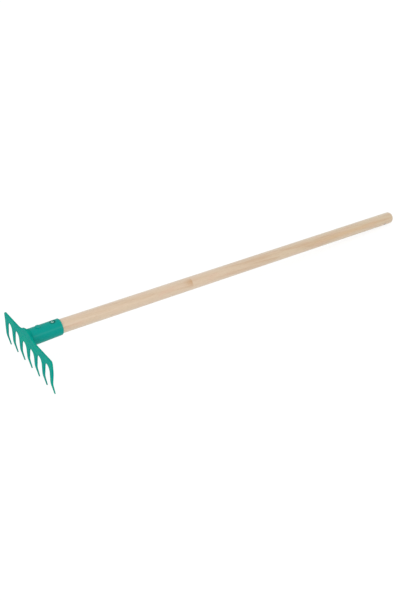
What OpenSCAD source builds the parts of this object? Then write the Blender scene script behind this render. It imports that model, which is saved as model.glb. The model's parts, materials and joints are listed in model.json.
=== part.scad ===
// Sand rake: a moulded plastic head with hooked tines, screwed to a round wooden handle.
// While the pieces are drawn the handle runs along +Y and the tines hang along -Z, with
// the blade's front face at y = 0 and the handle's axis at z = 0. The whole tool is then
// tipped until it rests on its tine tips and on the far end of its handle.

/* [Handle] */
// Diameter of the wooden handle
handle_d = 22; // [18:0.5:26]
// Distance from the blade's front face to the handle's far end
reach = 764; // [400:1:1200]
// Rounding of the handle's far end
handle_end_r = 6; // [2:0.5:8]
// How much thinner, in diameter, the seated end is than the handle
seat_taper = 1.2; // [0.4:0.1:2.4]
// Chamfer on the seated end
seat_chamfer = 1.5; // [0.5:0.1:3]

/* [Socket] */
// Length from the blade's front face to the socket's mouth
socket_len = 53.4; // [46:0.2:80]
// Distance from the blade's front face to the floor of the handle's seat
seat_floor_y = 17.4; // [12:0.2:24]
// Wall of the socket at its mouth
socket_wall = 1.75; // [1.4:0.05:4]
// How much the socket's radius grows from its mouth to the blade
socket_flare = 0.5; // [0:0.1:2]
// How far the socket's axis has dropped below the handle's by the blade
socket_drop = 2; // [0:0.1:2.4]
// Rounding of the mouth's outer edge
mouth_round = 1.3; // [0.4:0.1:1.3]
// Fillet between the socket and the back of the blade
socket_fillet = 3; // [1:0.5:6]
// Radial room around the seated handle
seat_clear = 0.15; // [0.05:0.05:0.4]
// Diameter of the low round boss on the socket's top
boss_d = 9; // [4:0.5:11]
// Height of the boss above the socket
boss_h = 1; // [0.4:0.1:2]
// Distance of the boss from the blade's front face
boss_y = 19; // [14:0.5:24]

/* [Blade] */
// Number of tines, always odd so that one stands under the handle
tine_count = 7; // [5:2:9]
// Spacing of the tines at the blade
tine_pitch = 25.5; // [20:0.1:32]
// Thickness of the blade
blade_t = 2.5; // [2:0.1:5]
// Height of the blade's top edge above the handle's axis
blade_rise = 3.4; // [1:0.1:8]
// Rounding of the blade's two top corners
corner_r = 4; // [1:0.5:8]
// Height of the crest above the blade's top edge
crest_h = 9.4; // [7:0.1:14]
// Half the width of the crest along the top edge
crest_half_w = 31; // [20:0.5:45]
// Depth of the outermost gap's root below the handle's axis
web_drop = 8.9; // [5:0.1:12]
// How much lower the gaps beside the middle tine start
web_mid_drop = 5.1; // [0:0.1:8]

/* [Tines] */
// Spacing of the tine tips, a little closer because the tines lean inward
tip_pitch = 25.2; // [20:0.1:32]
// Depth of the tine tips below the handle's axis
tip_drop = 54.6; // [45:0.2:80]
// Width of a tine where its gap's arch ends
tine_root_w = 8.2; // [5:0.1:10]
// Width of a tine at its tip
tine_tip_w = 2.4; // [1.6:0.1:4]
// Thickness of a tine at its tip
tip_t = 1.6; // [1:0.1:3]
// Height of the arch at the top of a gap
arch_h = 10.8; // [4:0.2:16]
// Depth below the handle's axis at which the tines start to lean forward
lean_drop = 13.6; // [8:0.2:20]
// How far the tines lean out in front of the blade
tine_sweep = 1; // [0.4:0.1:2]
// Depth of the tines' foremost point, where they bend, below the handle's axis
bend_drop = 33.4; // [28:0.2:38]
// Radius of the bend
tine_bend_r = 30; // [12:1:45]
// How far the hooked tips lie behind the blade's front face
tip_setback = 2.5; // [1:0.1:5]

/* [Screw] */
// Diameter of the screw's shank
screw_d = 2.8; // [2:0.1:4]
// Length of the screw under its head
screw_len = 14; // [10:0.5:18]
// Diameter of the screw's head
screw_head_d = 4.8; // [4.4:0.1:7]
// Height of the screw's head
screw_head_h = 1.4; // [1:0.1:2.4]
// Straight rim of the head under its dome
screw_rim_h = 0.4; // [0.2:0.1:0.8]
// Distance of the screw from the socket's mouth
screw_inset = 11.6; // [8:0.2:20]
// Depth of the flat-bottomed recess that the head sits in
screw_recess = 1; // [0.2:0.1:1.1]
// Room around the head in its recess
recess_clear = 1.9; // [0.5:0.1:2.5]
// Radial room around the shank
screw_clear = 0.1; // [0.05:0.05:0.3]

/* [Hidden] */
$fn = 96;
// Steps of an outline's round stretches
corner_steps = 6;
crest_steps = 8;
arch_steps = 16;
bend_steps = 6;
// How far a cut runs past the face that it opens
overrun = 2;
// Room between the handle's seated end and the floor of its seat
seat_end_gap = 0.3;
// How far outside the mouth the handle reaches its full diameter
seat_relief = 0.6;

handle_r = handle_d / 2;
seat_tip_r = handle_r - seat_taper / 2;
seat_depth = socket_len - seat_floor_y;
seat_top_y = socket_len + seat_relief;
mouth_r = handle_r + seat_clear + socket_wall;
root_r = mouth_r + socket_flare;
socket_tilt = atan(socket_drop / socket_len);
fillet_side = root_r + socket_fillet;

side_tines = (tine_count - 1) / 2;
tip_r = tine_tip_w / 2;
tip_z = -tip_drop;
gap_half_w = (tine_pitch - tine_root_w) / 2;
blade_end_x = side_tines * tine_pitch + tine_root_w / 2;
crest_z = blade_rise + crest_h;
crest_turn = 2 * atan(crest_h / crest_half_w);
crest_r = crest_half_w / 2 / sin(crest_turn);

bend_y = tine_bend_r - tine_sweep;
bend_z = -bend_drop;
lean_z = -lean_drop;
lean_turn = bend_turn(0, lean_z);
hook_turn = bend_turn(tip_setback, tip_z);
tip_back_y = tip_setback + tip_t;

screw_y = socket_len - screw_inset;
screw_top_z = socket_top(screw_y);
screw_seat_z = screw_top_z - screw_recess;
screw_head_r = screw_head_d / 2;
screw_cap_h = screw_head_h - screw_rim_h;
screw_cap_r = (pow(screw_head_r, 2) + pow(screw_cap_h, 2)) / (2 * screw_cap_h);

// The tilt that brings the tine tips and the handle's rounded end to one floor
rest_run = reach - handle_end_r - tip_back_y;
rest_rise = tip_drop - handle_r + handle_end_r;
rest_tilt = atan2(rest_rise, rest_run) - asin(handle_end_r / norm([rest_run, rest_rise]));
rest_lift = tip_drop * cos(rest_tilt) + tip_back_y * sin(rest_tilt);
rest_front_y = bend_y * cos(rest_tilt) + bend_z * sin(rest_tilt) - tine_bend_r;
rest_rear_y = (reach - handle_end_r) * cos(rest_tilt)
    + (handle_r - handle_end_r) * sin(rest_tilt) + handle_end_r;
rest_mid_y = (rest_front_y + rest_rear_y) / 2;

// Points along a circular arc, both ends included
function arc(centre, r, from, to, steps) = [
    for (i = [0 : steps])
        let (a = from + (to - from) * i / steps)
        centre + r * [cos(a), sin(a)]
];

// Turn from upright of the straight stretch that runs from a point to the circle of the bend
function bend_turn(y, z) = let (run = bend_y - y, rise = abs(z - bend_z))
    asin(tine_bend_r / norm([run, rise])) - atan2(run, rise);

// Thickness of a tine, shrinking evenly from the blade to the tip
function tine_t(z) = tip_t + (blade_t - tip_t) * (z - tip_z) / (lean_z - tip_z);

// Root of the gap with this number, counted from the middle, on a low parabola
function gap_root_z(g) = -web_drop - web_mid_drop * pow(1 - g / (side_tines - 1), 2);

// One gap, from the foot of the tine outside it, over its arch, to the tine inside it
function gap_points(g) = let (
        x = (g + 1 / 2) * tine_pitch,
        spring_z = gap_root_z(g) - arch_h
    ) [
        for (i = [0 : arch_steps])
            let (a = 180 * i / arch_steps)
            [x + gap_half_w * cos(a), spring_z + arch_h * sin(a)]
    ];

// Rounded tip of the tine with this number, counted from the middle
function tip_points(k, to) =
    arc([k * tip_pitch, tip_z + tip_r], tip_r, 0, to, corner_steps);

// Front outline of the head to the right of the handle, from the crest down to the middle tip
function half_outline() = concat(
    arc([0, crest_z - crest_r], crest_r, 90, 90 - crest_turn, crest_steps),
    arc([crest_half_w, blade_rise + crest_r], crest_r, 270 - crest_turn, 270, crest_steps),
    arc([blade_end_x - corner_r, blade_rise - corner_r], corner_r, 90, 0, corner_steps),
    [[blade_end_x, gap_root_z(side_tines - 1) - arch_h]],
    [for (g = [side_tines - 1 : -1 : 0]) each concat(tip_points(g + 1, -180), gap_points(g))],
    tip_points(0, -90)
);

// The whole front outline: the right half, then its mirror image without the shared ends
function head_outline() = let (right = half_outline()) concat(
    right,
    [for (i = [len(right) - 2 : -1 : 1]) [-right[i].x, right[i].y]]
);

// Front of a tine in side view: straight forward, round the bend, straight back past the tip
function tine_front() = concat(
    [[0, lean_z]],
    arc([bend_y, bend_z], tine_bend_r, 180 - lean_turn, 180 + hook_turn, bend_steps),
    [[tip_setback + overrun * tan(hook_turn), tip_z - overrun]]
);

// Side view of the blade and a tine: flat above, then hooked and thinning to the tip
function blade_profile() = let (front = tine_front()) concat(
    [[0, crest_z + overrun]],
    front,
    [for (i = [len(front) - 1 : -1 : 0]) front[i] + [tine_t(front[i].y), 0]],
    [[blade_t, crest_z + overrun]]
);

// Height of the socket's top above the handle's axis
function socket_top(y) = mouth_r + (socket_flare - socket_drop) * (socket_len - y) / socket_len;

// Half section of the socket's outside, measured along its axis from the mouth
function socket_section(depth) = concat(
    [[0, 0]],
    arc([mouth_r - mouth_round, mouth_round], mouth_round, -90, 0, corner_steps),
    [[root_r, depth], [0, depth]]
);

// Half section of the handle along its axis, from its seated end to its far end
function handle_section() = concat(
    [[0, seat_floor_y + seat_end_gap]],
    [[seat_tip_r - seat_chamfer, seat_floor_y + seat_end_gap]],
    [[seat_tip_r, seat_floor_y + seat_end_gap + seat_chamfer]],
    [[handle_r, seat_top_y]],
    arc([handle_r - handle_end_r, reach - handle_end_r], handle_end_r, 0, 90, crest_steps),
    [[0, reach]]
);

// Tips the tool onto its tines and its handle's end, over the middle of its footprint
module rest_pose() {
    translate([0, -rest_mid_y, rest_lift]) rotate([-rest_tilt, 0, 0]) children();
}

// Turns a revolved piece from the Z axis to the handle's axis
module along_handle() {
    rotate([-90, 0, 0]) children();
}

// Turns a revolved piece from the Z axis to the socket's axis, running in from the mouth
module along_socket() {
    translate([0, socket_len, 0]) rotate([90 + socket_tilt, 0, 0]) children();
}

// The head's front outline, drawn out from the front face as far as depth
module outline_prism(depth) {
    translate([0, depth, 0]) rotate([90, 0, 0])
        linear_extrude(height = depth + overrun + tine_sweep) polygon(head_outline());
}

// Blade and tines: what the front outline and the side profile have in common
module blade() {
    intersection() {
        outline_prism(tip_back_y + blade_t + overrun);
        rotate([90, 0, 90]) linear_extrude(height = 2 * (blade_end_x + overrun), center = true)
            polygon(blade_profile());
    }
}

// Outside of the socket, ending inside the blade's thickness
module socket_shell() {
    along_socket() rotate_extrude() polygon(socket_section(socket_len - blade_t / 2));
}

// Hollow fillet between the socket and the blade, trimmed to the blade's outline
module socket_root() {
    intersection() {
        along_socket() translate([0, 0, socket_len - blade_t]) rotate_extrude() difference() {
            translate([0, -socket_fillet]) square([fillet_side, socket_fillet + blade_t / 2]);
            translate([fillet_side, -socket_fillet]) circle(r = socket_fillet);
        }
        outline_prism(blade_t + 2 * socket_fillet);
    }
}

// Low round boss on top of the socket, reaching down until the seat cuts it
module socket_boss() {
    translate([0, boss_y, 0]) cylinder(h = socket_top(boss_y) + boss_h, r = boss_d / 2);
}

// Tapered seat for the handle, open at the mouth
module handle_seat() {
    along_handle() {
        translate([0, 0, seat_floor_y]) cylinder(
            h = seat_depth + seat_relief,
            r1 = seat_tip_r + seat_clear,
            r2 = handle_r + seat_clear
        );
        translate([0, 0, seat_top_y]) cylinder(h = overrun, r = handle_r + seat_clear);
    }
}

// Screw hole through the top of the socket, with its recess
module screw_opening() {
    translate([0, screw_y, 0]) cylinder(h = screw_top_z + overrun, r = screw_d / 2 + screw_clear);
    translate([0, screw_y, screw_seat_z])
        cylinder(h = screw_recess + overrun, r = screw_head_r + recess_clear);
}

module rake_head() {
    color("#12a38b") rest_pose() difference() {
        union() {
            blade();
            socket_shell();
            socket_root();
            socket_boss();
        }
        handle_seat();
        screw_opening();
    }
}

module handle() {
    color("#dcc9ad") rest_pose() difference() {
        along_handle() rotate_extrude() polygon(handle_section());
        translate([0, screw_y, screw_seat_z - screw_len - screw_clear])
            cylinder(h = screw_len + overrun, r = screw_d / 2 + screw_clear);
    }
}

module fixing_screw() {
    color("#c9ccd0") rest_pose() translate([0, screw_y, screw_seat_z]) {
        intersection() {
            cylinder(h = screw_head_h, r = screw_head_r);
            translate([0, 0, screw_head_h - screw_cap_r]) sphere(r = screw_cap_r);
        }
        translate([0, 0, screw_d - screw_len]) cylinder(h = screw_len - screw_d, r = screw_d / 2);
        translate([0, 0, -screw_len]) cylinder(h = screw_d, r1 = 0, r2 = screw_d / 2);
    }
}

rake_head();
handle();
fixing_screw();
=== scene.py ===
# %% [markdown]
# # A sand rake
# This lesson dresses a finished CAD model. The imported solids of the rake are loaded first, as a
# fixed frame. Every piece is then modelled again in place, with the soft edges and the finishes
# that a camera sees: a moulded plastic head, a turned beech handle and one zinc-plated screw.

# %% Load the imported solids
import json
import math

import bmesh
import bpy
from mathutils import Euler, Matrix, Vector


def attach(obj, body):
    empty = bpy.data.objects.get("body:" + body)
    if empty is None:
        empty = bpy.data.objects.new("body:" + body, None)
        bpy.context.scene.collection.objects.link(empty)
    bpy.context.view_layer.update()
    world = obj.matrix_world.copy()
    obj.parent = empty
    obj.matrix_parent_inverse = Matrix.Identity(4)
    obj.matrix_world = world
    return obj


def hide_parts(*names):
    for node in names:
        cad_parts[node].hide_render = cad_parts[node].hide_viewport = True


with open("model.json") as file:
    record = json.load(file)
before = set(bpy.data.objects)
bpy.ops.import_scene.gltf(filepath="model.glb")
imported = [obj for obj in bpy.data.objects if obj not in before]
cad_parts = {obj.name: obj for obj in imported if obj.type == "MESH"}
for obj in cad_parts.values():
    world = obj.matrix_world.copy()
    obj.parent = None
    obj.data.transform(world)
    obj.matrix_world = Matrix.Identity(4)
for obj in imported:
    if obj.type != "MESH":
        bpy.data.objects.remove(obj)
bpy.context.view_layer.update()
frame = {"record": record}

# %% [markdown]
# ## One frame to draw in
# The rake rests on its tine tips and on the end of its handle, so its handle slopes a little.
# Drawing on a slope is awkward. Each piece is drawn with the handle along +Y, the blade's front
# face at y = 0 and the tines hanging down, and then one matrix tips it into the resting place.
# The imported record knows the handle's axis, because the handle is the part's mount. All sizes of
# the drawing are in millimetres, and MM turns them into Blender's metres.

# %% The matrix from the drawing to the resting rake
MM = 0.001
SHAFT_MIDDLE = 406.0                     # from the blade's front face to the middle of the bare handle

shaft = frame["record"]["mounts"][0]
along = Vector(shaft["axis"])
slope = math.atan2(-along.z, along.y)
foot = Vector(shaft["pos_m"]) - along * (SHAFT_MIDDLE * MM)
REST = Matrix.Translation(foot) @ Matrix.Rotation(-slope, 4, "X")
print("handle slopes", round(math.degrees(slope), 2), "degrees, axis starts at", list(foot))

# %% [markdown]
# ## Finishing a piece
# A bmesh is a mesh in the making. When it is ready, its doubles are merged, its faces are turned
# outwards, it is tipped into place and stored in an object that stays at the origin. Smooth
# shading with a sharp limit keeps the narrow rounded edges soft and the broad faces flat.

# %% From bmesh to a piece of the rake
MERGE = 0.002 * MM                       # points closer together than this become one


def clean(bm):
    bmesh.ops.remove_doubles(bm, verts=bm.verts[:], dist=MERGE)
    bmesh.ops.recalc_face_normals(bm, faces=bm.faces[:])


def finish_piece(bm, name, node, material, sharp):
    """Store a bmesh as a piece. Edges that turn by more than so many degrees stay sharp."""
    clean(bm)
    bmesh.ops.transform(bm, matrix=REST, verts=bm.verts[:])
    mesh = bpy.data.meshes.new(name)
    bm.to_mesh(mesh)
    bm.free()
    mesh.shade_smooth()
    mesh.set_sharp_from_angle(angle=math.radians(sharp))
    mesh.materials.append(material)
    piece = bpy.data.objects.new(name, mesh)
    bpy.context.scene.collection.objects.link(piece)
    even = piece.modifiers.new("even shading", "WEIGHTED_NORMAL")
    even.keep_sharp = True
    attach(piece, "root")
    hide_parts(node)
    print(name, "faces:", len(mesh.polygons))


print("helpers: clean, finish_piece")

# %% [markdown]
# ## Colours and nodes
# Colours are written as the hex values that a picture editor shows. Blender shades with linear
# light, so one function converts them. A second small function adds a node, sets it up and links
# it, which keeps each material short enough to read as a recipe.

# %% Helpers for every material
SHARE, UNDER, OVER, MIXED = 0, 6, 7, 2   # inputs and output of a Mix node that mixes colours


def linear(code):
    parts = [int(code[i:i + 2], 16) / 255 for i in (1, 3, 5)]
    return [c / 12.92 if c <= 0.04045 else ((c + 0.055) / 1.055) ** 2.4 for c in parts] + [1.0]


def plug(tree, node, inputs):
    """Link each input that comes from another node, and set the others."""
    for key, value in inputs.items():
        if isinstance(value, bpy.types.NodeSocket):
            tree.links.new(value, node.inputs[key])
        else:
            node.inputs[key].default_value = value


def add(tree, kind, inputs, out=0, **settings):
    """Add a node with its settings and links, and return one of its outputs."""
    made = tree.nodes.new(kind)
    for key, value in settings.items():
        setattr(made, key, value)
    plug(tree, made, inputs)
    return made.outputs[out]


def new_material(name):
    material = bpy.data.materials.new(name)
    material.use_nodes = True
    tree = material.node_tree
    return material, tree, tree.nodes["Principled BSDF"]


print("helpers: linear, plug, add, new_material")

# %% [markdown]
# ## Where a pattern lies
# A pattern has to stay on its piece. Object coordinates do that, but they are tipped with the
# resting rake, so a Mapping node turns them back into the drawing. A soft spot at a place in the
# drawing then serves for everything that is local: a shaded recess, a knot or a streak.


# %% Coordinates of the drawing and soft spots
def rake_coordinates(tree):
    """The drawing's own coordinates: Object coordinates with the resting slope taken out."""
    back = REST.inverted()
    return add(tree, "ShaderNodeMapping", {
        "Vector": add(tree, "ShaderNodeTexCoord", {}, out="Object"),
        "Rotation": back.to_euler(),
        "Location": back.to_translation(),
    })


def spot(tree, here, centre, across, lengthwise, core=0.0):
    """1 at a place in the drawing and 0 around it; place and size in mm, core as a share."""
    off = add(tree, "ShaderNodeVectorMath", {0: here, 1: [c * MM for c in centre]},
              operation="SUBTRACT")
    size = [across * MM, lengthwise * MM, across * MM]
    unit = add(tree, "ShaderNodeVectorMath", {0: off, 1: size}, operation="DIVIDE")
    far = add(tree, "ShaderNodeVectorMath", {0: unit}, out="Value", operation="LENGTH")
    return add(tree, "ShaderNodeMapRange", {"Value": far, "From Min": 1.0, "From Max": core},
               interpolation_type="SMOOTHSTEP")


print("helpers: rake_coordinates, spot")

# %% [markdown]
# ## Green moulded plastic
# The head is polypropylene, coloured right through and moulded in one shot. A spark-eroded mould
# leaves the blade matt, and a smoother cavity leaves the socket satin, with one soft stripe of
# light along it. A real plastic has a Specular IOR Level of about 0.5. Here it is far lower,
# because the pictured rake shows hardly any shine. The socket is painted a bluer green than the
# blade. This is painted light, for the cooler light that falls on its sides. A slight cloud in
# the colour shows where the melt flowed. The recess around the screw lies in its own shade, so it
# is drawn darker.
# A picture could be wrapped around the head instead, but noise needs no unwrapping, has no seams
# and keeps its real size.

# %% Polypropylene, moulded satin
SCREW_Y = 41.8                           # the screw's place along the tool
RECESS, RECESS_SHADE = (0.0, SCREW_Y, 11.8), 5.6  # middle of the screw's recess, reach of its shade
# The socket's look is its satin finish and a bluer green, which is painted light.
SOCKET_LOOK_FROM, SOCKET_LOOK_TO = 5.0, 7.0          # behind the blade's front, where its look turns to the socket's
MELT_CLOUD = 22.0                        # size of a cloud in the colour
# The eroded mould's grit is about 0.1 mm; at 0.5 mm it still shows in a close view.
GRIT, GRIT_DEPTH = 0.5, 0.05


def moulded_polypropylene():
    material, tree, skin = new_material("polypropylene moulded satin green")
    here = rake_coordinates(tree)
    behind = add(tree, "ShaderNodeSeparateXYZ", {0: here}, out="Y")
    # thick is 0 on the blade and 1 on the socket: it sets the socket's satin finish and its painted light,
    # a bluer green.
    thick = add(tree, "ShaderNodeMapRange", {
        "Value": behind, "From Min": SOCKET_LOOK_FROM * MM, "From Max": SOCKET_LOOK_TO * MM,
    }, interpolation_type="SMOOTHSTEP")
    flow = add(tree, "ShaderNodeTexNoise", {
        "Vector": here, "Scale": 1 / (MELT_CLOUD * MM), "Detail": 3.0, "Roughness": 0.55,
    })
    cloud = add(tree, "ShaderNodeMapRange", {"Value": flow, "From Min": 0.3, "From Max": 0.7},
                interpolation_type="SMOOTHSTEP")
    shade = spot(tree, here, RECESS, RECESS_SHADE, RECESS_SHADE, core=0.8)
    body = linear("#04958a")
    # 029b90 is painted light, a bluer green for the cooler light on the socket's sides; #017c71 is painted
    # shade in the screw's recess.
    for share, colour in ((cloud, "#06a08b"), (thick, "#029b90"), (shade, "#017c71")):
        body = add(tree, "ShaderNodeMix", {SHARE: share, UNDER: body, OVER: linear(colour)},
                   out=MIXED, data_type="RGBA")
    grit = add(tree, "ShaderNodeTexNoise", {
        "Vector": here, "Scale": 1 / (GRIT * MM), "Detail": 2.0,
    })
    plug(tree, skin, {
        "Base Color": body,
        "Normal": add(tree, "ShaderNodeBump", {
            "Height": grit, "Strength": 0.08, "Distance": GRIT_DEPTH * MM,
        }),
        "Roughness": add(tree, "ShaderNodeMapRange", {
            "Value": thick, "To Min": 0.5, "To Max": 0.3,
        }),
        "Specular IOR Level": add(tree, "ShaderNodeMapRange", {
            "Value": thick, "To Min": 0.02, "To Max": 0.1,
        }),
        "IOR": 1.49,
    })
    return material


green_plastic = moulded_polypropylene()
print("made", green_plastic.name)

# %% [markdown]
# ## The blade and its tines
# The blade is a flat plate that ends in seven tapering tines, with an arched gap between each two.
# It could be carved with booleans, but its front outline says nearly everything. Half of that
# outline is drawn with arcs, mirrored and filled, extruded to a plate and cut across at several
# heights so that it can bend. The tines then lean a little forward, bend once and hook back.

# %% Sizes of the blade
SIDE_TINES = 3                           # on each side of the middle one
PITCH, TIP_PITCH = 25.5, 25.2            # tine spacing at the blade and at the tips
ROOT_W, TIP_W = 8.2, 2.4                 # width of a tine
BLADE_T, TIP_T = 2.5, 1.6                # thickness
RISE, CORNER = 3.4, 4.0                  # top edge above the handle's axis, corner radius
CREST_H, CREST_W = 9.4, 31.0             # the low crest over the handle: height, half of its width
ARCH_H = 10.8                            # height of the arch at the top of a gap
WEB, WEB_MIDDLE = 8.9, 5.1               # top of the end gaps below the axis, how much lower at the middle
LEAN_Z, BEND_Z, TIP_Z = -13.6, -33.4, -54.6  # where the tines lean, bend and end
SWEEP, BEND_R, SETBACK = 1.0, 30.0, 2.5  # forward reach, radius of the bend, tip behind the blade
END_X = SIDE_TINES * PITCH + ROOT_W / 2
print("blade:", round(2 * END_X, 1), "mm wide,", round(RISE + CREST_H - TIP_Z, 1), "mm high")


# %% Half of the front outline
def arc(x, z, radius, start, end, steps, tall=1.0):
    """Points on an arc, from one angle to another in degrees; tall stretches it upwards."""
    turn = [math.radians(start + (end - start) * i / steps) for i in range(steps + 1)]
    return [(x + radius * math.cos(a), z + radius * tall * math.sin(a)) for a in turn]


def half_outline():
    turn = 2 * math.degrees(math.atan(CREST_H / CREST_W))
    crest = CREST_W / 2 / math.sin(math.radians(turn))
    points = arc(0, RISE + CREST_H - crest, crest, 90, 90 - turn, steps=16)
    points += arc(CREST_W, RISE + crest, crest, 270 - turn, 270, steps=16)[1:]
    points += arc(END_X - CORNER, RISE - CORNER, CORNER, 90, 0, steps=6)
    points += [(END_X, -WEB - ARCH_H)]
    gap, tip = (PITCH - ROOT_W) / 2, TIP_W / 2
    for g in reversed(range(SIDE_TINES)):
        root = -WEB - WEB_MIDDLE * (1 - g / (SIDE_TINES - 1)) ** 2
        points += arc((g + 1) * TIP_PITCH, TIP_Z + tip, tip, 0, -180, steps=8)
        points += arc((g + 0.5) * PITCH, root - ARCH_H, gap, 0, 180, steps=36, tall=ARCH_H / gap)
    return points + arc(0, TIP_Z + tip, tip, 0, -90, steps=4)


outline = half_outline()
print("half outline:", len(outline), "points")

# %% Fill, extrude and cut the plate
# The first cut lies just above the lean and clear of the arches, so that no rim crosses it.
CUTS = (-12.8, -18, -23, -28, -31, -33, -34.5, -36, -37.5, -39, -43, -47, -51)
ON_CUT = 0.0001                          # points this close to a cut lie on it


def chain(bm, points):
    """A row of edges through points given in mm."""
    row = [bm.verts.new([c * MM for c in point]) for point in points]
    for a, b in zip(row, row[1:]):
        bm.edges.new((a, b))
    return row


def plate():
    bm = bmesh.new()
    row = chain(bm, [(x, 0, z) for x, z in outline])
    row[0].co.x = row[-1].co.x = 0
    bmesh.ops.mirror(bm, geom=bm.verts[:] + bm.edges[:], axis="X", merge_dist=MERGE)
    bmesh.ops.remove_doubles(bm, verts=bm.verts[:], dist=MERGE)
    face = bmesh.ops.contextual_create(bm, geom=bm.edges[:])["faces"]
    grown = bmesh.ops.extrude_face_region(bm, geom=face)["geom"]
    back = [v for v in grown if isinstance(v, bmesh.types.BMVert)]
    bmesh.ops.translate(bm, verts=back, vec=(0, BLADE_T * MM, 0))
    for height in CUTS:
        bmesh.ops.bisect_plane(bm, geom=bm.verts[:] + bm.edges[:] + bm.faces[:], dist=ON_CUT * MM,
                               plane_co=(0, 0, height * MM), plane_no=(0, 0, 1))
    return bm


blade = plate()
print("plate:", len(blade.verts), "points,", len(blade.faces), "faces")


# %% Bend the tines and thin them
def bend_turn(y, z):
    """Turn from upright of the straight stretch from a point to the circle of the bend."""
    run, rise = BEND_R - SWEEP - y, abs(z - BEND_Z)
    return math.asin(BEND_R / math.hypot(run, rise)) - math.atan2(run, rise)


def tine_front(z):
    lean, hook = bend_turn(0, LEAN_Z), bend_turn(SETBACK, TIP_Z)
    if z > BEND_Z + BEND_R * math.sin(lean):
        return (z - LEAN_Z) * math.tan(lean)
    if z < BEND_Z - BEND_R * math.sin(hook):
        return SETBACK + (TIP_Z - z) * math.tan(hook)
    return BEND_R - SWEEP - math.sqrt(BEND_R ** 2 - (z - BEND_Z) ** 2)


def bend(bm):
    for v in bm.verts:
        z = v.co.z / MM
        if z < LEAN_Z:
            thick = TIP_T + (BLADE_T - TIP_T) * (z - TIP_Z) / (LEAN_Z - TIP_Z)
            back = thick if v.co.y > BLADE_T / 2 * MM else 0.0
            v.co.y = (tine_front(z) + back) * MM


bend(blade)
print("foremost point", round(min(v.co.y for v in blade.verts) / MM, 2), "mm before the blade")

# %% [markdown]
# ## Soft edges
# A moulding has no knife edges: the mould's corners are a little round, and round edges catch
# thin lines of light. A Bevel modifier picks its edges by their angle alone. The bevel operator
# takes just the rims that it is given, where a broad face meets a narrow wall.

# %% Bevel the rims
RIM_R = 0.45                             # radius of the moulded edges
WALL, FACE = 0.5, 0.8                    # a wall's normal has less of Y than this, a face's has more


def soften(bm, edges, radius, segments):
    bmesh.ops.bevel(bm, geom=edges, offset=radius * MM, offset_type="OFFSET", affect="EDGES",
                    segments=segments, profile=0.5, material=-1, clamp_overlap=True)


def rims(bm):
    found = []
    for e in bm.edges:
        if len(e.link_faces) == 2:
            a, b = sorted(abs(f.normal.y) for f in e.link_faces)
            if a < WALL and b > FACE:
                found.append(e)
    return found


bmesh.ops.recalc_face_normals(blade, faces=blade.faces[:])
soften(blade, rims(blade), RIM_R, segments=3)
print("blade with soft rims:", len(blade.faces), "faces")

# %% [markdown]
# ## The socket
# The socket is a slightly tapered tube that points a touch lower than the handle. Tubes are lathe
# work: half of the section is drawn as a chain of edges and spun about the handle's axis. Its foot
# flares into the back of the blade, less so above and below, where the blade ends close by. The
# seat inside is drilled true to the handle.

# %% Sizes of the socket
SOCKET, SEAT = 53.4, 36.0                # length from the blade's front, depth of the seat
MOUTH_R, FOOT_R, DROP = 12.9, 13.4, 2.0  # outer radius at both ends, sag of the axis at the foot
BORE_R, BORE_END_R, LIP_R = 11.15, 10.55, 1.3  # the seat at both ends, round lip of the mouth
FOOT_Y, FLARE = 1.2, 3.0                 # where the foot starts inside the blade, radius of its flare
FLARE_CUT_UP, FLARE_CUT_DOWN = 0.5, 0.25  # share of the flare that is left off above and below
RINGS = (10, 16, 22, 28, 34, 40, 46, 50)  # where the side has points
SLACK = 0.01                             # for telling the seat's points from the others
SEAT_Y = SOCKET - SEAT
print("socket's wall at the mouth:", round(MOUTH_R - BORE_R, 2), "mm, seat from", round(SEAT_Y, 1), "mm")


# %% Spin the socket
def lathe(points, axis, steps, centre=(0, 0, 0)):
    """A chain of points in mm, spun once around an axis and closed."""
    bm = bmesh.new()
    chain(bm, points)
    bmesh.ops.spin(bm, geom=bm.verts[:] + bm.edges[:], cent=[c * MM for c in centre], axis=axis,
                   angle=math.tau, steps=steps, use_merge=True)
    clean(bm)
    return bm


def socket():
    slim = (FOOT_R - MOUTH_R) / SOCKET
    side = [(MOUTH_R + slim * (SOCKET - y), y) for y in RINGS]
    foot_r = MOUTH_R + slim * (SOCKET - BLADE_T - FLARE)
    flare = arc(foot_r + FLARE, BLADE_T + FLARE, FLARE, 270, 180, steps=8)
    lip = arc(MOUTH_R - LIP_R, SOCKET - LIP_R, LIP_R, 0, 90, steps=6)
    section = [(0, FOOT_Y), (foot_r + FLARE, FOOT_Y), *flare, *side, *lip,
               (BORE_R, SOCKET), (BORE_END_R, SEAT_Y), (0, SEAT_Y)]
    bm = lathe([(r, y, 0) for r, y in section], axis=(0, 1, 0), steps=96)
    for v in bm.verts:
        r, y = math.hypot(v.co.x, v.co.z) / MM, v.co.y / MM
        if y < BLADE_T + FLARE and r > foot_r:
            up = v.co.z / MM / r
            left = 1 - FLARE_CUT_UP * max(0.0, up) ** 3 - FLARE_CUT_DOWN * max(0.0, -up)
            shrink = (foot_r + (r - foot_r) * left) / r
            v.co.x *= shrink
            v.co.z *= shrink
        seat = r < BORE_R + SLACK and y > SEAT_Y - SLACK
        if not seat:
            v.co.z -= DROP * MM * (1 - y / SOCKET)
    bmesh.ops.recalc_face_normals(bm, faces=bm.faces[:])
    return bm


tube = socket()
print("socket:", len(tube.faces), "faces")

# %% [markdown]
# ## The screw's recess
# The screw head sits in a shallow flat-bottomed recess on top of the socket. Cutting a round
# recess into a round tube by hand would need a new mesh around it, so this is a place for a
# boolean: a cylinder is taken away from the tube, and the result is read back into the mesh.

# %% Cut the recess
RECESS_Z, CUT_TOP = 11.57, 20.0          # height of the recess's floor, top of the cutters
RECESS_R, HEAD_R, SHANK_R = 4.3, 2.4, 1.4  # radius of the recess, the screw's head and its shank
HOLE_ROOM, HOLE_END = 0.1, 4.0           # room around the shank, lower end of its hole's cutter


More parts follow.
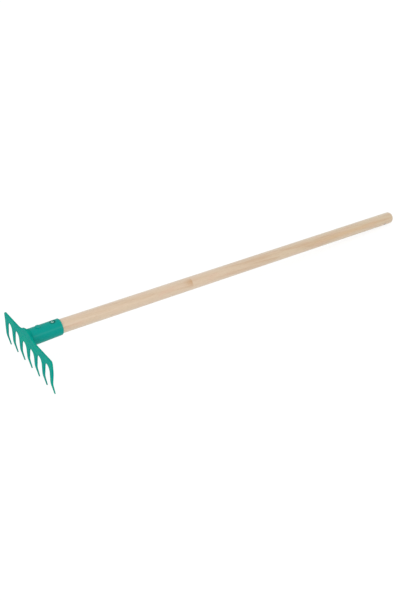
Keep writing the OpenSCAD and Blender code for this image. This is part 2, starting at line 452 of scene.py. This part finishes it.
def combine(bm, other, operation):
    """Take one bmesh from another or join them, by a boolean; both are used up."""
    blanks = []
    for part in (bm, other):
        mesh = bpy.data.meshes.new("blank")
        part.to_mesh(mesh)
        part.free()
        blanks.append(bpy.data.objects.new("blank", mesh))
        bpy.context.scene.collection.objects.link(blanks[-1])
    body, tool = blanks
    change = body.modifiers.new(operation, "BOOLEAN")
    change.object, change.operation, change.solver = tool, operation, "EXACT"
    bpy.context.view_layer.update()
    solved = body.evaluated_get(bpy.context.evaluated_depsgraph_get()).to_mesh()
    result = bmesh.new()
    result.from_mesh(solved)
    for part in blanks:
        bpy.data.meshes.remove(part.data)
    return result


def upright(y, radius, low, high, steps):
    """A standing cylinder on the tool's middle plane."""
    bm = bmesh.new()
    made = bmesh.ops.create_cone(bm, cap_ends=True, segments=steps, radius1=radius * MM,
                                 radius2=radius * MM, depth=(high - low) * MM)["verts"]
    bmesh.ops.translate(bm, verts=made, vec=(0, y * MM, (high + low) / 2 * MM))
    return bm


drill = upright(SCREW_Y, RECESS_R, RECESS_Z, CUT_TOP, steps=64)
tube = combine(tube, drill, "DIFFERENCE")
drill = upright(SCREW_Y, SHANK_R + HOLE_ROOM, HOLE_END, CUT_TOP, steps=32)
tube = combine(tube, drill, "DIFFERENCE")
print("socket with recess:", len(tube.faces), "faces")

# %% [markdown]
# ## The boss
# A low round boss stands on top of the socket, between the blade and the screw. A lathe can't
# make it together with the tube. It is a short cylinder with a soft upper edge, and its foot is
# sunk into the wall of the tube.

# %% Raise the boss
BOSS_Y, BOSS_R, BOSS_EDGE = 19.0, 4.5, 0.9  # place along the tool, radius, round of its upper edge
BOSS_FOOT, BOSS_TOP = 10.75, 12.93       # heights above the handle's axis

knob = upright(BOSS_Y, BOSS_R, BOSS_FOOT, BOSS_TOP, steps=64)
halfway = (BOSS_FOOT + BOSS_TOP) / 2 * MM
soften(knob, [e for e in knob.edges if all(v.co.z > halfway for v in e.verts)], BOSS_EDGE, segments=4)
print("boss:", len(knob.faces), "faces")

# %% [markdown]
# ## One moulding
# Blade, socket and boss leave the mould as one piece. So far they are three shells that overlap,
# which would leave walls inside the plastic. A second kind of boolean, the union, melts them into
# one closed skin. The socket's foot is sunk into the blade, and its flare runs out on the back.

# %% Join the head
for part in (tube, knob):
    blade = combine(blade, part, "UNION")
finish_piece(blade, "rake_head_moulding", "rake_head", green_plastic, sharp=40)

# %% [markdown]
# ## Beech
# The handle is a beech dowel, turned, sanded and thinly lacquered. Beech is pale and pinkish
# with long soft streaks, fine darker pores that run with the grain, and here a small knot and a
# warm streak. A dark spot near the far end, where that end rests on the floor, is a painted
# contact shadow. It is drawn darker towards the far end, as the picture has it, be it from the
# wood or from the light, and a pale sheen follows the picture where the wood turns away. A picture
# of wood would have to be wrapped around the dowel and would show a seam. Noise that is drawn out
# along the grain has none.

# %% The run of the grain
GRAIN_LEAN = (0.02, 0.0, -0.03)          # sideways run of the grain for each step along the handle


def beech_grain(tree, here, length):
    lean = add(tree, "ShaderNodeVectorMath", {0: GRAIN_LEAN, "Scale": length}, operation="SCALE")
    return add(tree, "ShaderNodeVectorMath", {0: here, 1: lean}, operation="SUBTRACT")


def fibres(tree, grain, wide, long, **look):
    """Noise drawn out along the grain, with marks so many mm wide and long."""
    size = [wide * MM, long * MM, wide * MM]
    return add(tree, "ShaderNodeTexNoise", {
        "Vector": add(tree, "ShaderNodeVectorMath", {0: grain, 1: size}, operation="DIVIDE"),
        "Scale": 1.0, **look,
    })


print("helpers: beech_grain, fibres")

# %% Colours of the beech
KNOT, KNOT_SIZE = (7.9, 286.0, 7.6), (11.0, 20.0)  # middle of a mark; its reach across and along
WARM, WARM_SIZE = (9.9, 640.0, 4.8), (6.0, 150.0)
# A painted contact shadow on the wood, near the far end where the handle rests on the floor.
CONTACT_SHADOW, CONTACT_SHADOW_SIZE = (9.6, 740.5, -5.4), (3.6, 3.8)
KNOT_END, KNOT_FADE = 286.6, 1.0         # where the next fibres close over the knot
DARK_FROM, DEEP_TO, DARK_TO = 250, 600, 660  # along the handle: streaks deepen, the ground darkens


def beech_colour(tree, here, length, streak, tint, pore):
    deeper = add(tree, "ShaderNodeMapRange", {
        "Value": length, "From Min": DARK_FROM * MM, "From Max": DEEP_TO * MM,
        "To Min": 0.35, "To Max": 0.75,
    }, interpolation_type="SMOOTHSTEP")
    layers = []
    # What a layer follows, where it starts and where it is full, its greatest share, its colour.
    for value, start, full, most, colour in (
        (length, DARK_FROM * MM, DARK_TO * MM, 1.0, "#cfb590"),
        (streak, 0.42, 0.7, deeper, "#c09468"),
        (tint, 0.5, 0.72, 0.35, "#d8ad90"),
        (pore, 0.56, 0.72, 0.2, "#a5794f"),
    ):
        share = add(tree, "ShaderNodeMapRange", {
            "Value": value, "From Min": start, "From Max": full, "To Max": most,
        }, interpolation_type="SMOOTHSTEP")
        layers.append((share, colour))
    # The knot fades in along the grain and stops short where the next fibres close over it.
    short = add(tree, "ShaderNodeMapRange", {
        "Value": length, "From Min": KNOT_END * MM, "From Max": (KNOT_END - KNOT_FADE) * MM,
        "To Max": 0.65,
    }, interpolation_type="SMOOTHSTEP")
    knot = add(tree, "ShaderNodeMath", {0: spot(tree, here, KNOT, *KNOT_SIZE), 1: short},
               operation="MULTIPLY")
    layers.append((spot(tree, here, WARM, *WARM_SIZE), "#cfab7e"))
    layers.append((knot, "#b98038"))
    # Painted contact shadow under the far end, where the handle meets the floor.
    layers.append((spot(tree, here, CONTACT_SHADOW, *CONTACT_SHADOW_SIZE, core=0.2), "#3d3024"))
    wood = linear("#d8bd9e")
    for share, colour in layers:
        wood = add(tree, "ShaderNodeMix", {SHARE: share, UNDER: wood, OVER: linear(colour)},
                   out=MIXED, data_type="RGBA")
    return wood


print("helper: beech_colour")

# %% Beech, turned and lacquered
STREAK, TINT = (5.0, 90.0), (8.0, 26.0)  # width and length of the marks
# Beech pores are 0.1 mm wide; they are drawn 0.7 mm wide so that they show at all.
PORE, PORE_DEPTH = (0.7, 11.0), 0.05


def turned_beech():
    material, tree, skin = new_material("beech turned and lacquered")
    here = rake_coordinates(tree)
    length = add(tree, "ShaderNodeSeparateXYZ", {0: here}, out="Y")
    grain = beech_grain(tree, here, length)
    streak = fibres(tree, grain, *STREAK, Detail=4.0, Roughness=0.6, Distortion=0.4)
    tint = fibres(tree, grain, *TINT, Detail=2.0)
    pore = fibres(tree, grain, *PORE, Detail=2.0)
    plug(tree, skin, {
        "Base Color": beech_colour(tree, here, length, streak, tint, pore),
        "Normal": add(tree, "ShaderNodeBump", {
            "Height": pore, "Strength": 0.12, "Distance": PORE_DEPTH * MM,
        }),
        "Roughness": add(tree, "ShaderNodeMapRange", {
            "Value": streak, "From Min": 0.3, "From Max": 0.7, "To Min": 0.46, "To Max": 0.54,
        }, interpolation_type="SMOOTHSTEP"),
        "IOR": 1.5,
        "Coat Weight": 0.5,
        "Coat Roughness": 0.3,
        "Sheen Weight": 0.5,
        "Sheen Roughness": 0.7,
        "Sheen Tint": linear("#fafffc"),
    })
    return material


beech = turned_beech()
print("made", beech.name)

# %% [markdown]
# ## The handle
# A dowel is the simplest lathe work: a chain of edges for half of its section, spun about its own
# axis. The far end is rounded over, and the seated end is tapered and chamfered as it would be to
# go into the socket. The long side is cut into rings so that shading stays even along it.

# %% Spin the handle
HANDLE_R, REACH, END_R = 11.0, 764.0, 6.0  # radius, end from the blade's front, round of that end
TAPER_R, CHAMFER = 10.4, 1.5             # the seated end's radius and its chamfer
SEAT_ROOM, MOUTH_ROOM = 0.3, 0.6         # from the seat's floor, and from the mouth to the full radius
RING_FROM, RING_STEP = 80, 20            # rings along the side


def dowel():
    seat = SEAT_Y + SEAT_ROOM
    section = [(0, seat), (TAPER_R - CHAMFER, seat), (TAPER_R, seat + CHAMFER),
               (HANDLE_R, SOCKET + MOUTH_ROOM)]
    section += [(HANDLE_R, y) for y in range(RING_FROM, int(REACH - END_R), RING_STEP)]
    section += arc(HANDLE_R - END_R, REACH - END_R, END_R, 0, 90, steps=12) + [(0, REACH)]
    return lathe([(r, y, 0) for r, y in section], axis=(0, 1, 0), steps=96)


finish_piece(dowel(), "beech_handle", "handle", beech, sharp=30)

# %% [markdown]
# ## The screw
# A pan-head wood screw holds the handle. Only its head shows: a low dome with a cross slot. Zinc
# plating is a bright grey metal with a milky shine, a little uneven from the bath, and one soft
# noise is enough for that. The green in the two colours below is not the plating's own. In the
# picture the head is a dot of a few pixels with much of the plastic's tint, and the metal is
# tinted to give that dot. For close views a plain grey such as #b4b8b8 is nearer to real zinc.

# %% Zinc-plated steel
BATH_CLOUD = 1.5                         # size of a cloud in the plating


def zinc_plate():
    material, tree, skin = new_material("steel zinc plated")
    cloud = add(tree, "ShaderNodeTexNoise", {
        "Vector": rake_coordinates(tree), "Scale": 1 / (BATH_CLOUD * MM), "Detail": 2.0,
    })
    plug(tree, skin, {
        "Base Color": add(tree, "ShaderNodeMix", {
            SHARE: cloud, UNDER: linear("#79b0a5"), OVER: linear("#9dcdc2"),
        }, out=MIXED, data_type="RGBA"),
        "Roughness": add(tree, "ShaderNodeMapRange", {
            "Value": cloud, "From Min": 0.3, "From Max": 0.7, "To Min": 0.24, "To Max": 0.36,
        }, interpolation_type="SMOOTHSTEP"),
        "Metallic": 1.0,
    })
    return material


zinc = zinc_plate()
print("made", zinc.name)

# %% Spin the screw and cut its cross
HEAD_EDGE, HEAD_DOME = 0.4, 1.0          # height of the head's straight edge and of its dome
SCREW_L, POINT_L = 14.0, 2.8             # under the head: to the point, of which the point itself
SLOT_L, SLOT_W, SLOT_H = 2.6, 0.6, 1.6   # one bar of the cross
SLOT_Z, SLOT_TURN = 1.5, 25              # middle of the bar above the recess's floor, turn in degrees


def screw():
    section = arc(0, HEAD_EDGE, HEAD_R, 90, 0, steps=7, tall=HEAD_DOME / HEAD_R)
    section += [(HEAD_R, 0), (SHANK_R, 0), (SHANK_R, POINT_L - SCREW_L), (0, -SCREW_L)]
    bm = lathe([(r, SCREW_Y, RECESS_Z + h) for r, h in section], axis=(0, 0, 1), steps=48,
               centre=(0, SCREW_Y, 0))
    for wide, deep in ((SLOT_L, SLOT_W), (SLOT_W, SLOT_L)):
        slot = bmesh.new()
        bar = bmesh.ops.create_cube(slot, size=MM)["verts"]
        bmesh.ops.scale(slot, verts=bar, vec=(wide, deep, SLOT_H))
        bmesh.ops.rotate(slot, verts=bar, matrix=Matrix.Rotation(math.radians(SLOT_TURN), 3, "Z"))
        bmesh.ops.translate(slot, verts=bar, vec=(0, SCREW_Y * MM, (RECESS_Z + SLOT_Z) * MM))
        bm = combine(bm, slot, "DIFFERENCE")
    return bm


finish_piece(screw(), "pan_head_screw", "fixing_screw", zinc, sharp=35)

# %% [markdown]
# ## Floor and light
# The rake lies on a plain white floor under soft light from all around, as on a studio sweep. More
# light would make the floor white too, but it would wash out the wood. The floor shows white only
# to the camera, in reflections and through glass, and a share of real light on it keeps the shadow.


# %% The white floor
def seen(tree):
    """1 for the rays that show the surroundings: straight, mirrored or through glass."""
    rays = add(tree, "ShaderNodeLightPath", {}).node.outputs
    share = 0.0
    for name in ("Is Camera Ray", "Is Glossy Ray", "Is Transmission Ray"):
        share = add(tree, "ShaderNodeMath", {0: share, 1: rays[name]}, operation="MAXIMUM")
    return share


def white_floor():
    material, tree, skin = new_material("white paper sweep")
    tree.nodes.remove(skin)
    paper = add(tree, "ShaderNodeBsdfDiffuse", {"Color": linear("#f4f4f4")})
    faint = add(tree, "ShaderNodeBsdfDiffuse", {"Color": linear("#808080")})
    glow = add(tree, "ShaderNodeEmission", {"Color": linear("#ffffff"), "Strength": 0.85})
    lit = add(tree, "ShaderNodeAddShader", {0: faint, 1: glow})
    whole = add(tree, "ShaderNodeMixShader", {0: seen(tree), 1: paper, 2: lit})
    plug(tree, tree.nodes["Material Output"], {"Surface": whole})
    return material


FLOOR = 12                               # half of its width, in metres

ground = bmesh.new()
bmesh.ops.create_grid(ground, x_segments=1, y_segments=1, size=FLOOR)
sheet = bpy.data.meshes.new("floor")
ground.to_mesh(sheet)
ground.free()
sheet.materials.append(white_floor())
floor = bpy.data.objects.new("floor", sheet)
bpy.context.scene.collection.objects.link(floor)
print("floor laid,", 2 * FLOOR, "m wide")

# %% The sky
world = bpy.data.worlds.new("soft studio")
bpy.context.scene.world = world
world.use_nodes = True
sky = world.node_tree
white = linear("#ffffff")
plug(sky, sky.nodes["Background"], {"Color": white, "Strength": 0.81})
dome = sky.nodes["Background"].outputs[0]
wall = add(sky, "ShaderNodeBackground", {"Color": white, "Strength": 1.0})
both = add(sky, "ShaderNodeMixShader", {0: seen(sky), 1: dome, 2: wall})
plug(sky, sky.nodes["World Output"], {"Surface": both})
print("sky:", world.name)


# %% The lamps
def softbox(name, place, aim, size, power):
    """A round area lamp; place, aim and size in metres, power in watts."""
    lamp = bpy.data.lights.new(name, "AREA")
    lamp.shape, lamp.size, lamp.energy = "DISK", size, power
    holder = bpy.data.objects.new(name, lamp)
    bpy.context.scene.collection.objects.link(holder)
    holder.location = place
    holder.rotation_euler = (Vector(aim) - Vector(place)).to_track_quat("-Z", "Y").to_euler()


softbox("front softbox", place=(0.6, -2.3, 1.0), aim=(0, 0, 0), size=1.8, power=11)
softbox("side softbox", place=(1.5, 0.25, 0.75), aim=(0, -0.3, 0), size=0.4, power=3)

# %% [markdown]
# ## The camera
# The camera stands above the rake's front right. Its place and turn are given in the drawing's
# frame and tipped with the rake, so the view stays the same if the rake comes to rest otherwise.
# A lens of 45 mm on a picture 36 mm high gives the frame of 401 by 601.

# %% Camera
EYE = (875.24, -330.50, 596.18)          # place in the drawing
TURN = (59.605, -0.915, 54.381)          # degrees
PICTURE_H, FOCUS = 601, 750              # height of the picture and focal length, in pixels
SENSOR = 36                              # height of the picture in the camera, mm

lens = bpy.data.cameras.new("camera")
lens.sensor_width = lens.sensor_height = SENSOR
lens.lens = FOCUS / PICTURE_H * SENSOR
camera = bpy.data.objects.new("camera", lens)
bpy.context.scene.collection.objects.link(camera)
camera.matrix_world = (REST @ Matrix.Translation(Vector(EYE) * MM)
                       @ Euler([math.radians(t) for t in TURN]).to_matrix().to_4x4())
bpy.context.scene.camera = camera
bpy.context.scene.view_settings.view_transform = "Standard"
print("camera at", [round(c, 3) for c in camera.matrix_world.translation])
